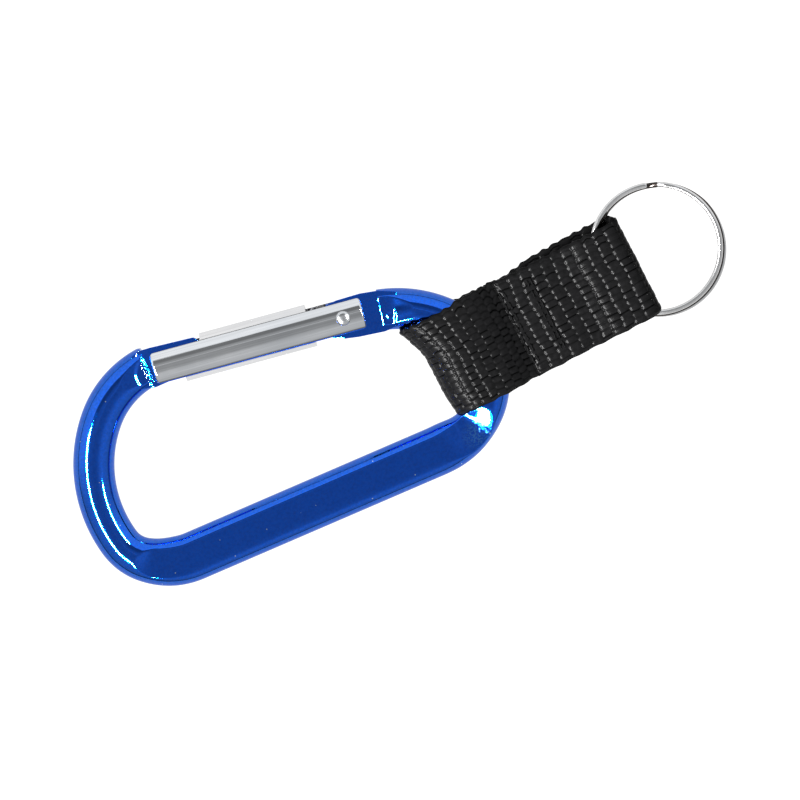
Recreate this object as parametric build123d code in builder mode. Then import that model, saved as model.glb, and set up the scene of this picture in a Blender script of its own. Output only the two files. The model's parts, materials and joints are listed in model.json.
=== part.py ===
from build123d import *
import os
from math import asin, cos, degrees, radians, sin

os.makedirs("parts", exist_ok=True)

# Carabiner keyring: a D-shaped snap hook, a folded webbing tab and a split ring.
# Millimetres. The hook lies in the XY plane with its spine along X.

# Bar of the hook
BAR_HALF_W = 3.775
BAR_HALF_H = 3.5
BAR_ROLL = 3.35
SPINE_HALF_H = 2.75
SPINE_INNER = 4.85
SPINE_OUTER = 4.25
SPINE_ROLL_INNER = 1.6
SPINE_ROLL_OUTER = 3.4
SPINE_Y = -17.5
SPINE_TILT = -0.5
SPINE_LEFT_X = -24.4
SPINE_RIGHT_X = 23.4

# Gate line: pivot, slope and main lengths
PIVOT = (18.2, 12.0)
GATE_SLOPE = 8.8
GATE_R = 3.95
GATE_NOSE_END = 35.7
GATE_HINGE_END = -3.8
GATE_BORE_R = 3.05
GATE_BORE_DEPTH = 18.6
SLOT_W = 5.4
TANG_T = 4.9
NOSE_SHOULDER = 36.1

# Cam on the tang: an arc whose centre sits off the pivot
CAM_R = 3.45
CAM_OFF = 2.12
CAM_LEAD = 15.0
GATE_SWING = 30.0

# Rivet, plunger and spring
RIVET_R = 1.0
RIVET_HEAD_R = 1.35
RIVET_SEAT = 3.7
RIVET_TOP = 4.3
RIVET_RIM = 0.12
RIVET_PLAY = 0.05
PLUNGER_FACE = 2.93
PLUNGER_HEAD_T = 1.5
PLUNGER_HEAD_R = 2.97
PLUNGER_STEM_R = 1.45
PLUNGER_TAIL = 12.5
SPRING_WIRE_R = 0.3
SPRING_R = 2.35
SPRING_TURNS = 7

# Webbing tab: own line, width, thickness and stations along the line
TAB_ORIGIN = (29.0, -3.6)
TAB_ANGLE = 3.3
TAB_W = 18.8
WEB_T = 1.25
TAB_HALF_LOOP = 4.85
BAR_POCKET = 3.6
BAR_LOOP_END = 14.3
BAR_FLEX = 15.6
SEAM_STEP = 16.6
SEAM_END = 24.0
RING_FLEX = 25.85
RING_LOOP_R = 1.8
TAB_END = 42.1
RING_HALF_LOOP = 2.55
RING_POCKET = 1.3
SEAM_ROWS = {"bar_outer": 17.25, "bar_inner": 18.05, "ring_inner": 22.7, "ring_outer": 23.4}
SWIVEL_CENTRE = (25.3, -4.7)
SWIVEL = 6
BAR_CLEARANCE = 0.25

# Stitching across the seam
STITCH_PITCH = 2.1
STITCHES = 7
THREAD_W = 0.45
THREAD_LIFT = 0.3
THREAD_LEG_R = 0.22

# Split ring
RING_CENTRE = (75.3, 0.0)
RING_R_OUT = 12.5
RING_BAND = 1.6
RING_LAYER_T = 1.05
RING_LAYER_GAP = 0.06
RING_JOG_AT = 67.0
RING_JOG_SPAN = 16.0
RING_END_GAP = 1.5


def gate_plane(lift=0.0):
    """Local X runs from the pivot towards the nose, local Y towards the outside."""
    slope = radians(GATE_SLOPE)
    return Plane(
        origin=(PIVOT[0], PIVOT[1], lift),
        x_dir=(-cos(slope), sin(slope), 0),
        z_dir=(0, 0, -1),
    )


def gate_across(station):
    """Plane square to the gate line; its normal points towards the nose."""
    slope = radians(GATE_SLOPE)
    return Plane(
        origin=(PIVOT[0] - station * cos(slope), PIVOT[1] + station * sin(slope), 0),
        x_dir=(0, 0, 1),
        z_dir=(-cos(slope), sin(slope), 0),
    )


def gate_side():
    """Plane through the gate line and Z: local X towards the nose, local Y up."""
    slope = radians(GATE_SLOPE)
    return Plane(
        origin=(PIVOT[0], PIVOT[1], 0),
        x_dir=(-cos(slope), sin(slope), 0),
        z_dir=(sin(slope), cos(slope), 0),
    )


def tab_side(offset=0.0):
    """Lengthwise plane of the webbing tab: local X along the tab, local Y up."""
    turn = radians(TAB_ANGLE)
    return Plane(
        origin=(TAB_ORIGIN[0] - offset * sin(turn), TAB_ORIGIN[1] + offset * cos(turn), 0),
        x_dir=(cos(turn), sin(turn), 0),
        z_dir=(sin(turn), -cos(turn), 0),
    )


def tab_plan(lift=0.0):
    """Plan plane of the webbing tab: local X along the tab, local Y across it."""
    turn = radians(TAB_ANGLE)
    return Plane(
        origin=(TAB_ORIGIN[0], TAB_ORIGIN[1], lift),
        x_dir=(cos(turn), sin(turn), 0),
        z_dir=(0, 0, 1),
    )


def station_plane(line, where, flip=False):
    """Section plane square to a path; local X points to the inside of the hook."""
    point = line @ where
    tangent = line % where
    forward = Vector(tangent.X, tangent.Y, 0)
    inward = Vector(-forward.Y, forward.X, 0)
    if flip:
        inward = inward * -1
    return Plane(origin=point, x_dir=inward, z_dir=forward)


def bar_section(plane, inner, outer, half_h, inner_roll, outer_roll):
    """Flat-topped section with elliptical sides; the inner side is local +X."""
    right = inner - inner_roll
    left = outer_roll - outer
    with BuildSketch(plane) as section:
        with BuildLine():
            Line((left, half_h), (right, half_h))
            EllipticalCenterArc((right, 0), inner_roll, half_h, start_angle=0, arc_size=90)
            EllipticalCenterArc((right, 0), inner_roll, half_h, start_angle=270, arc_size=90)
            Line((right, -half_h), (left, -half_h))
            EllipticalCenterArc((left, 0), outer_roll, half_h, start_angle=180, arc_size=90)
            EllipticalCenterArc((left, 0), outer_roll, half_h, start_angle=90, arc_size=90)
        make_face()
    return section.sketch


def round_section(plane):
    return bar_section(plane, BAR_HALF_W, BAR_HALF_W, BAR_HALF_H, BAR_ROLL, BAR_ROLL)


def spine_section(plane):
    return bar_section(plane, SPINE_INNER, SPINE_OUTER, SPINE_HALF_H, SPINE_ROLL_INNER, SPINE_ROLL_OUTER)


# Centre line of the bar, as tangent arcs out of both ends of the straight spine
def spine_y(x):
    return SPINE_Y + x * sin(radians(SPINE_TILT))


def spine_dir(sign):
    tilt = radians(SPINE_TILT)
    return (sign * cos(tilt), sign * sin(tilt))


spine_left = (SPINE_LEFT_X, spine_y(SPINE_LEFT_X))
spine_right = (SPINE_RIGHT_X, spine_y(SPINE_RIGHT_X))

with BuildLine() as spine_path:
    Line(spine_left, spine_right)

with BuildLine() as corner_path:
    corner_1 = JernArc(spine_left, spine_dir(-1), 13.5, -40.5)
    corner_2 = JernArc(corner_1 @ 1, corner_1 % 1, 8.8, -37.5)

with BuildLine() as wide_end_path:
    wide_1 = JernArc(corner_2 @ 1, corner_2 % 1, 24.5, -55.4)
    wide_2 = JernArc(wide_1 @ 1, wide_1 % 1, 17.7, -42.0)

with BuildLine() as heel_path:
    heel_1 = JernArc(spine_right, spine_dir(1), 24.2, 11.1)
    heel_2 = JernArc(heel_1 @ 1, heel_1 % 1, 12.8, 25.0)

with BuildLine() as narrow_end_path:
    narrow_1 = JernArc(heel_2 @ 1, heel_2 % 1, 12.8, 94.5)
    narrow_2 = JernArc(narrow_1 @ 1, narrow_1 % 1, 21.5, 33.8)


def cam_centre():
    lead = radians(CAM_LEAD)
    return (-CAM_OFF * sin(lead), -CAM_OFF * cos(lead))


def make_frame():
    with BuildPart() as carabiner_frame:
        # Pressed spine
        sweep(sections=spine_section(station_plane(spine_path.line, 0)), path=spine_path.line)
        # Pressed corner, easing from the spine section to the round bar
        corner_a = spine_section(station_plane(corner_path.line, 0, flip=True))
        corner_b = round_section(station_plane(corner_path.line, 1, flip=True))
        sweep(sections=[corner_a, corner_b], path=corner_path.line, multisection=True)
        # Round bar of the wide end
        sweep(sections=round_section(station_plane(wide_end_path.line, 0, flip=True)), path=wide_end_path.line)
        # Pressed heel on the ring side
        heel_a = spine_section(station_plane(heel_path.line, 0))
        heel_b = round_section(station_plane(heel_path.line, 1))
        sweep(sections=[heel_a, heel_b], path=heel_path.line, multisection=True)
        # Round bar of the narrow end, up to the hinge shoulder
        sweep(sections=round_section(station_plane(narrow_end_path.line, 0)), path=narrow_end_path.line)
        # The nose ends in a face square to the gate, clear of its swing
        with BuildSketch(gate_plane()):
            with Locations((NOSE_SHOULDER - 10, 0)):
                Rectangle(20, 16)
        extrude(amount=6, both=True, mode=Mode.SUBTRACT)
        # Ramps pressed into both cheeks beside the two shoulders
        with BuildSketch(gate_side()):
            for side in (1, -1):
                with BuildLine():
                    Polyline(
                        (NOSE_SHOULDER - 1, side * 2.75),
                        (NOSE_SHOULDER + 0.6, side * 2.8),
                        (NOSE_SHOULDER + 4.2, side * 4.2),
                        (NOSE_SHOULDER - 1, side * 4.2),
                        close=True,
                    )
                make_face()
                with BuildLine():
                    Polyline(
                        (-5.5, side * 2.6),
                        (-7.4, side * 2.65),
                        (-11.4, side * 4.2),
                        (-5.5, side * 4.2),
                        close=True,
                    )
                make_face()
        extrude(amount=7, both=True, mode=Mode.SUBTRACT)
        # Nose tongue that stands in the slot of the gate
        with BuildSketch(gate_plane()):
            with BuildLine():
                Polyline(
                    (40.5, 3.9),
                    (38.6, 4.3),
                    (35.4, 3.95),
                    (27.2, 3.72),
                    (26.5, 3.1),
                    (26.9, 2.3),
                    (31.5, -2.6),
                    (36.0, -3.3),
                    (40.5, -3.0),
                    close=True,
                )
            make_face()
        extrude(amount=TANG_T / 2, both=True)
        # Hinge tang with its cam nose
        cam_x, cam_y = cam_centre()
        swing = radians(GATE_SWING)
        with BuildSketch(gate_plane()):
            with BuildLine():
                cam = CenterArc((cam_x, cam_y), CAM_R, 0, -GATE_SWING)
                Polyline(
                    cam @ 1,
                    (0.4, -3.85),
                    (-1.85, -4.12),
                    (-6.7, -4.4),
                    (-10.0, -3.9),
                    (-10.5, 2.2),
                    (-7.4, 3.15),
                    (-4.0, 3.45),
                    (2.1, 3.45),
                    (cam_x + CAM_R, 2.6),
                    cam @ 0,
                )
            make_face()
        extrude(amount=TANG_T / 2, both=True)
        with BuildSketch(gate_plane()):
            Circle(RIVET_R + RIVET_PLAY)
        extrude(amount=TANG_T, both=True, mode=Mode.SUBTRACT)
    carabiner_frame.part.label = "carabiner_frame"
    export_step(carabiner_frame.part, "parts/carabiner_frame.step")


def make_gate():
    with BuildPart() as gate:
        with BuildSketch(gate_across(GATE_HINGE_END)):
            Circle(GATE_R)
        extrude(amount=GATE_NOSE_END - GATE_HINGE_END)
        chamfer(gate.edges().filter_by(GeomType.CIRCLE), 0.4)
        with BuildSketch(gate_across(GATE_HINGE_END)):
            Circle(GATE_BORE_R)
        extrude(amount=GATE_BORE_DEPTH - GATE_HINGE_END, mode=Mode.SUBTRACT)
        # Slots through both sides, with the run-outs of the milling cutter
        with BuildSketch(gate_plane()):
            with BuildLine():
                Polyline((37, 5), (26.1, 5), (26.1, 3.2), (30.4, -3.0), (30.4, -5), (37, -5), close=True)
            make_face()
            with BuildLine():
                Polyline((-5, 5), (6.3, 5), (6.3, 3.0), (6.0, -3.0), (5.8, -5), (-5, -5), close=True)
            make_face()
        extrude(amount=SLOT_W / 2, both=True, mode=Mode.SUBTRACT)
        # Rivet hole and the seats of its two heads
        with BuildSketch(gate_plane()):
            Circle(RIVET_R)
        extrude(amount=6, both=True, mode=Mode.SUBTRACT)
        for side in (1, -1):
            with BuildSketch(Plane(origin=(PIVOT[0], PIVOT[1], side * RIVET_SEAT), z_dir=(0, 0, side))):
                Circle(RIVET_HEAD_R + 0.03)
            extrude(amount=1, mode=Mode.SUBTRACT)
    gate.part.label = "gate"
    export_step(gate.part, "parts/gate.step")


def make_rivet():
    dome_h = RIVET_TOP - RIVET_SEAT - RIVET_RIM
    dome_r = (RIVET_HEAD_R**2 + dome_h**2) / (2 * dome_h)
    dome_arc = degrees(asin(RIVET_HEAD_R / dome_r))
    with BuildPart() as gate_rivet:
        with BuildSketch(Plane(origin=(PIVOT[0], PIVOT[1], 0), x_dir=(1, 0, 0), z_dir=(0, -1, 0))):
            with BuildLine():
                upper = CenterArc((0, RIVET_TOP - dome_r), dome_r, 90, -dome_arc)
                Polyline(
                    upper @ 1,
                    (RIVET_HEAD_R, RIVET_SEAT),
                    (RIVET_R, RIVET_SEAT),
                    (RIVET_R, -RIVET_SEAT),
                    (RIVET_HEAD_R, -RIVET_SEAT),
                    (RIVET_HEAD_R, -RIVET_SEAT - RIVET_RIM),
                )
                lower = CenterArc((0, dome_r - RIVET_TOP), dome_r, -90, dome_arc)
                Line(lower @ 0, upper @ 0)
            make_face()
        revolve(axis=Axis((PIVOT[0], PIVOT[1], 0), (0, 0, 1)))
    gate_rivet.part.label = "gate_rivet"
    export_step(gate_rivet.part, "parts/gate_rivet.step")


def make_plunger():
    with BuildPart() as spring_plunger:
        with BuildSketch(gate_across(PLUNGER_FACE)):
            Circle(PLUNGER_HEAD_R)
        extrude(amount=PLUNGER_HEAD_T)
        chamfer(spring_plunger.edges().filter_by(GeomType.CIRCLE), 0.2)
        with BuildSketch(gate_across(PLUNGER_FACE + PLUNGER_HEAD_T)):
            Circle(PLUNGER_STEM_R)
        extrude(amount=PLUNGER_TAIL - PLUNGER_FACE - PLUNGER_HEAD_T)
    spring_plunger.part.label = "spring_plunger"
    export_step(spring_plunger.part, "parts/spring_plunger.step")


def make_spring():
    start = PLUNGER_FACE + PLUNGER_HEAD_T + SPRING_WIRE_R + 0.05
    length = GATE_BORE_DEPTH - SPRING_WIRE_R - 0.05 - start
    coil = Helix(pitch=length / SPRING_TURNS, height=length, radius=SPRING_R)
    base = gate_across(start)
    path = base.location * coil
    with BuildPart() as gate_spring:
        with BuildSketch(Plane(origin=path @ 0, z_dir=path % 0)):
            Circle(SPRING_WIRE_R)
        sweep(path=path, is_frenet=True)
    gate_spring.part.label = "gate_spring"
    export_step(gate_spring.part, "parts/gate_spring.step")


def make_bar_clearance():
    """Space the bar takes up inside the webbing loop."""
    grow = BAR_CLEARANCE
    wide = bar_section(
        station_plane(heel_path.line, 0),
        SPINE_INNER + grow,
        SPINE_OUTER + grow,
        BAR_HALF_H,
        SPINE_ROLL_INNER,
        SPINE_ROLL_OUTER,
    )
    thin = bar_section(
        station_plane(narrow_end_path.line, 0),
        BAR_HALF_W + grow,
        BAR_HALF_W + grow,
        BAR_HALF_H + grow / 2,
        BAR_ROLL,
        BAR_ROLL,
    )
    with BuildPart() as clearance:
        sweep(sections=wide, path=heel_path.line)
        sweep(sections=thin, path=narrow_end_path.line)
    return clearance.part


def make_bar_loop():
    half = TAB_W / 2
    clearance = make_bar_clearance()
    swivel = Axis((SWIVEL_CENTRE[0], SWIVEL_CENTRE[1], 0), (0, 0, 1))
    with BuildPart() as webbing_bar_loop:
        with BuildSketch(tab_side(-half)):
            with BuildLine():
                Polyline((BAR_LOOP_END, -WEB_T), (BAR_LOOP_END, WEB_T), (12.3, TAB_HALF_LOOP))
                Line((12.3, TAB_HALF_LOOP), (3.8, TAB_HALF_LOOP))
                ThreePointArc((3.8, TAB_HALF_LOOP), (0, 0), (3.8, -TAB_HALF_LOOP))
                Line((3.8, -TAB_HALF_LOOP), (12.3, -TAB_HALF_LOOP))
                Line((12.3, -TAB_HALF_LOOP), (BAR_LOOP_END, -WEB_T))
            make_face()
        extrude(amount=-TAB_W)
        with BuildSketch(tab_side(-half)):
            with BuildLine():
                Polyline((13.75, 0), (12.0, BAR_POCKET), (4.3, BAR_POCKET))
                ThreePointArc((4.3, BAR_POCKET), (WEB_T, 0), (4.3, -BAR_POCKET))
                Polyline((4.3, -BAR_POCKET), (12.0, -BAR_POCKET), (13.75, 0))
            make_face()
        extrude(amount=-TAB_W, mode=Mode.SUBTRACT)
        # The fold gives way to the bar over the whole swivel
        for turn in (-SWIVEL, 0, SWIVEL):
            add(clearance.rotate(swivel, turn), mode=Mode.SUBTRACT)
    webbing_bar_loop.part.label = "webbing_bar_loop"
    export_step(webbing_bar_loop.part, "parts/webbing_bar_loop.step")


def make_center():
    half = TAB_W / 2
    with BuildPart() as webbing_center:
        with BuildSketch(tab_side(-half)):
            with BuildLine():
                RadiusArc((BAR_FLEX, -WEB_T), (BAR_FLEX, WEB_T), WEB_T)
                Polyline(
                    (BAR_FLEX, WEB_T),
                    (SEAM_STEP, WEB_T),
                    (SEAM_STEP, 2 * WEB_T),
                    (SEAM_END, 2 * WEB_T),
                    (SEAM_END, -WEB_T),
                    (BAR_FLEX, -WEB_T),
                )
            make_face()
        extrude(amount=-TAB_W)
    webbing_center.part.label = "webbing_center"
    export_step(webbing_center.part, "parts/webbing_center.step")


def make_ring_loop():
    half = TAB_W / 2
    mid = WEB_T / 2
    with BuildPart() as webbing_ring_loop:
        with BuildSketch(tab_side(-half)):
            with BuildLine():
                RadiusArc((RING_FLEX, mid - RING_LOOP_R), (RING_FLEX, mid + RING_LOOP_R), RING_LOOP_R)
                Polyline((RING_FLEX, mid + RING_LOOP_R), (31.0, RING_HALF_LOOP), (TAB_END - 2.0, RING_HALF_LOOP))
                ThreePointArc(
                    (TAB_END - 2.0, RING_HALF_LOOP), (TAB_END, 0), (TAB_END - 2.0, -RING_HALF_LOOP)
                )
                Polyline((TAB_END - 2.0, -RING_HALF_LOOP), (31.0, -RING_HALF_LOOP), (RING_FLEX, mid - RING_LOOP_R))
            make_face()
        extrude(amount=-TAB_W)
        with BuildSketch(tab_side(-half)):
            with BuildLine():
                Polyline((31.5, 0), (33.0, RING_POCKET), (39.9, RING_POCKET))
                ThreePointArc((39.9, RING_POCKET), (TAB_END - WEB_T, 0), (39.9, -RING_POCKET))
                Polyline((39.9, -RING_POCKET), (33.0, -RING_POCKET), (31.5, 0))
            make_face()
        extrude(amount=-TAB_W, mode=Mode.SUBTRACT)
        # The pocket stays open wherever the ring passes out at the corners
        with BuildSketch(Plane(origin=(RING_CENTRE[0], RING_CENTRE[1], -RING_POCKET))):
            Circle(RING_R_OUT + 0.2)
            Circle(RING_R_OUT - RING_BAND - 0.2, mode=Mode.SUBTRACT)
        extrude(amount=2 * RING_POCKET, mode=Mode.SUBTRACT)
    webbing_ring_loop.part.label = "webbing_ring_loop"
    export_step(webbing_ring_loop.part, "parts/webbing_ring_loop.step")


def make_seam_row(name, station):
    """One row of lockstitch: a strand on each face, joined by legs through the layers."""
    length = STITCHES * STITCH_PITCH
    top = 2 * WEB_T
    bottom = -WEB_T
    with BuildPart() as row:
        with BuildSketch(tab_plan(top)):
            with Locations((station, 0)):
                RectangleRounded(THREAD_W, length + THREAD_W, THREAD_W / 2 - 0.01)
        extrude(amount=THREAD_LIFT)
        with BuildSketch(tab_plan(bottom)):
            with Locations((station, 0)):
                RectangleRounded(THREAD_W, length + THREAD_W, THREAD_W / 2 - 0.01)
        extrude(amount=-THREAD_LIFT)
        with BuildSketch(tab_plan(bottom)):
            with Locations((station, 0)):
                with GridLocations(STITCH_PITCH, STITCH_PITCH, 1, STITCHES + 1):
                    Circle(THREAD_LEG_R)
        extrude(amount=top - bottom)
    row.part.label = name
    export_step(row.part, f"parts/{name}.step")


def ring_plane(angle):
    """Section plane of the ring: local X is radial, local Y is up."""
    turn = radians(angle)
    return Plane(
        origin=(RING_CENTRE[0], RING_CENTRE[1], 0),
        x_dir=(cos(turn), sin(turn), 0),
        z_dir=(sin(turn), -cos(turn), 0),
    )


def ring_section(angle, height):
    with BuildSketch(ring_plane(angle)) as section:
        with Locations((RING_R_OUT - RING_BAND / 2, height)):
            RectangleRounded(RING_BAND, RING_LAYER_T, 0.38)
    return section.sketch


def make_ring():
    axis = Axis((RING_CENTRE[0], RING_CENTRE[1], 0), (0, 0, 1))
    layer = (RING_LAYER_T + RING_LAYER_GAP) / 2
    jog_end = RING_JOG_AT + RING_JOG_SPAN / 2
    jog_start = RING_JOG_AT - RING_JOG_SPAN / 2
    sweep_angle = 360 - RING_JOG_SPAN - RING_END_GAP
    steps = 6
    with BuildPart() as split_ring:
        revolve(
            profiles=ring_section(jog_end + RING_END_GAP, layer),
            axis=axis,
            revolution_arc=sweep_angle,
        )
        revolve(profiles=ring_section(jog_end, -layer), axis=axis, revolution_arc=sweep_angle)
        # The wire drops from the upper coil to the lower one over the jog
        stations = []
        for i in range(steps + 1):
            t = i / steps
            drop = t * t * (3 - 2 * t)
            stations.append(ring_section(jog_start + t * RING_JOG_SPAN, layer * (1 - 2 * drop)))
        loft(sections=stations)
    split_ring.part.label = "split_ring"
    export_step(split_ring.part, "parts/split_ring.step")


make_frame()
make_gate()
make_rivet()
make_plunger()
make_spring()
make_bar_loop()
make_center()
for row_name, row_station in SEAM_ROWS.items():
    make_seam_row(f"stitch_row_{row_name}", row_station)
make_ring_loop()
make_ring()
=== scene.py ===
import json
import math

import bmesh
import bpy
import numpy as np
from mathutils import Matrix, Vector


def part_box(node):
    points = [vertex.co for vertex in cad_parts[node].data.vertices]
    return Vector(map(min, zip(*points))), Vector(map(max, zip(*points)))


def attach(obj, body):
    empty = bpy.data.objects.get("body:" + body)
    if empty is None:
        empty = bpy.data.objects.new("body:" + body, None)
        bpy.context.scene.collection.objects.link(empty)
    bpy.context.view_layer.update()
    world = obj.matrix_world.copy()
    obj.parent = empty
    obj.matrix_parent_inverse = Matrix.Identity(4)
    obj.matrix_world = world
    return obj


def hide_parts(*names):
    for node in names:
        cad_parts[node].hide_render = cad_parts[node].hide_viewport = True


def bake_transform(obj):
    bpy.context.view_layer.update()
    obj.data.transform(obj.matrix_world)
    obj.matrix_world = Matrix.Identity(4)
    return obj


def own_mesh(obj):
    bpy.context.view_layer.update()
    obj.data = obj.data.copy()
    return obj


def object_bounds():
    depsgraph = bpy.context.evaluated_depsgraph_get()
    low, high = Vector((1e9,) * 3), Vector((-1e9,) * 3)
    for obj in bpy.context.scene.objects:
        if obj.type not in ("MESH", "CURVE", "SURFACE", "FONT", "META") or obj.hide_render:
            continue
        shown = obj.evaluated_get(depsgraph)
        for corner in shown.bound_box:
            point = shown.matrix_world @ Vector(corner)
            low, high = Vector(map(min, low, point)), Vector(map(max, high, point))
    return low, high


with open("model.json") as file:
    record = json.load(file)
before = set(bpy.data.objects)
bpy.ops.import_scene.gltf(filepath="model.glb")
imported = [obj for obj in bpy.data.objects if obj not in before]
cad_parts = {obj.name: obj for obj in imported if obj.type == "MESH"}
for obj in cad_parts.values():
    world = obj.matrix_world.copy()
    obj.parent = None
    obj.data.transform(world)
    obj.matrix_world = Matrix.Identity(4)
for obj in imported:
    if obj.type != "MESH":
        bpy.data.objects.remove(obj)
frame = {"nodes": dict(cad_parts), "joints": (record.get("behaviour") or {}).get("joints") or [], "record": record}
CAD_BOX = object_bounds()
MM = 0.001
nodes = frame["nodes"]
record = frame["record"]
joints = {j["name"]: j for j in frame["joints"]}

# ---- lines of the object, mm in the row frame

Z_AXIS = np.array([0.0, 0.0, 1.0])


def joint_pos(name):
    return np.array(joints[name]["pos_m"], float) / MM


def joint_axis(name):
    axis = np.array(joints[name]["axis"], float)
    return axis / np.linalg.norm(axis)


# Gate line: a runs from the pivot to the nose, b to the outside
PIVOT = joint_pos("gate_hinge")
GATE_A = joint_axis("plunger_slide")
GATE_B = np.cross(GATE_A, Z_AXIS)
# Webbing tab: s runs to the ring, t across; both from the flex joint beside the bar
FLEX_BAR_S = 15.6
TAB_T = -joint_axis("strap_flex_bar")
TAB_S = np.cross(TAB_T, Z_AXIS)
TAB_O = joint_pos("strap_flex_bar") - FLEX_BAR_S * TAB_S
RING_O = joint_pos("ring_spin")
# Marks on the hook: a hammered spot at the heel, bumped and with a painted highlight, and a crushed lip across the
# gate line
HEEL_SPOT = (31.9, -17.3, 3.0)
NOSE_LIP, NOSE_SLANT, LIP_REACH = 36.8, 0.19, 5.0


def on_gate(a, b, z=0.0):
    plan = PIVOT + np.multiply.outer(a, GATE_A) + np.multiply.outer(b, GATE_B)
    return plan + np.multiply.outer(z, Z_AXIS)


def on_tab(s, t, z):
    plan = TAB_O + np.multiply.outer(s, TAB_S) + np.multiply.outer(t, TAB_T)
    return plan + np.multiply.outer(z, Z_AXIS)


def smooth(x, lo, hi):
    t = np.clip((np.asarray(x, float) - lo) / (hi - lo), 0, 1)
    return t * t * (3 - 2 * t)


def soft_min(a, b, k):
    """The lower of two heights, with a rounding of about k where they meet."""
    m = np.minimum(a, b)
    return m - k * np.log(np.exp(-(a - m) / k) + np.exp(-(b - m) / k))


# ---- mesh helpers


def new_object(name, verts_mm, faces, uv=None, angle=None):
    mesh = bpy.data.meshes.new(name)
    mesh.from_pydata((np.asarray(verts_mm) * MM).tolist(), [], faces)
    if uv is not None:
        layer = mesh.uv_layers.new(name="UVMap")
        index = np.zeros(len(mesh.loops), np.int32)
        mesh.loops.foreach_get("vertex_index", index)
        layer.data.foreach_set("uv", np.asarray(uv, np.float32)[index].ravel())
    mesh.update()
    finish_mesh(mesh, angle)
    obj = bpy.data.objects.new(name, mesh)
    bpy.context.scene.collection.objects.link(obj)
    return obj


def finish_mesh(mesh, angle):
    bm = bmesh.new()
    bm.from_mesh(mesh)
    bmesh.ops.recalc_face_normals(bm, faces=bm.faces)
    for face in bm.faces:
        face.smooth = True
    if angle is not None:
        limit = math.radians(angle)
        for edge in bm.edges:
            if len(edge.link_faces) == 2 and edge.calc_face_angle(0) > limit:
                edge.smooth = False
    bm.to_mesh(mesh)
    bm.free()


def point_attribute(obj, name, values):
    layer = obj.data.attributes.new(name, "FLOAT", "POINT")
    layer.data.foreach_set("value", np.ascontiguousarray(values, np.float32).ravel())


def tube_faces(rings, around, caps=True):
    """Quads of a tube whose vertices come ring after ring."""
    i = np.arange(rings - 1)[:, None]
    j = np.arange(around)[None, :]
    i2 = i + 1
    j2 = (j + 1) % around
    quads = np.stack([i * around + j, i * around + j2, i2 * around + j2, i2 * around + j], -1)
    faces = quads.reshape(-1, 4).tolist()
    if caps:
        faces.append(list(range(around))[::-1])
        faces.append([(rings - 1) * around + k for k in range(around)])
    return faces


def tube(name, points, normals, binormals, section, angle=None):
    """Sweeps section (per station, in normal and binormal) along points."""
    points, normals, binormals = (np.asarray(x, float) for x in (points, normals, binormals))
    section = np.asarray(section, float)
    if section.ndim == 2:
        section = np.broadcast_to(section, (len(points), *section.shape))
    verts = (
        points[:, None, :]
        + section[..., 0:1] * normals[:, None, :]
        + section[..., 1:2] * binormals[:, None, :]
    )
    faces = tube_faces(len(points), section.shape[1])
    return new_object(name, verts.reshape(-1, 3), faces, angle=angle)


def lathe(name, profile, origin, axis, side, segments=96, angle=40):
    """Turns a profile of (radius, height) about an axis; ends on the axis close it."""
    profile = np.asarray(profile, float)
    other = np.cross(axis, side)
    turn = np.linspace(0, 2 * math.pi, segments, endpoint=False)
    rim = np.cos(turn)[:, None] * side + np.sin(turn)[:, None] * other
    body = profile[1:-1]
    verts = origin + body[:, None, 0:1] * rim[None] + body[:, None, 1:2] * axis
    verts = verts.reshape(-1, 3)
    faces = tube_faces(len(body), segments, caps=False)
    low, high = len(verts), len(verts) + 1
    verts = np.vstack([verts, origin + profile[0, 1] * axis, origin + profile[-1, 1] * axis])
    last = (len(body) - 1) * segments
    for k in range(segments):
        nxt = (k + 1) % segments
        faces.append([low, nxt, k])
        faces.append([high, last + k, last + nxt])
    return new_object(name, verts, faces, angle=angle)


def arc_points(cx, cy, rx, ry, a0, a1, n):
    a = np.radians(np.linspace(a0, a1, n))
    return np.stack([cx + rx * np.cos(a), cy + ry * np.sin(a)], -1)


# ---- materials


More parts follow.
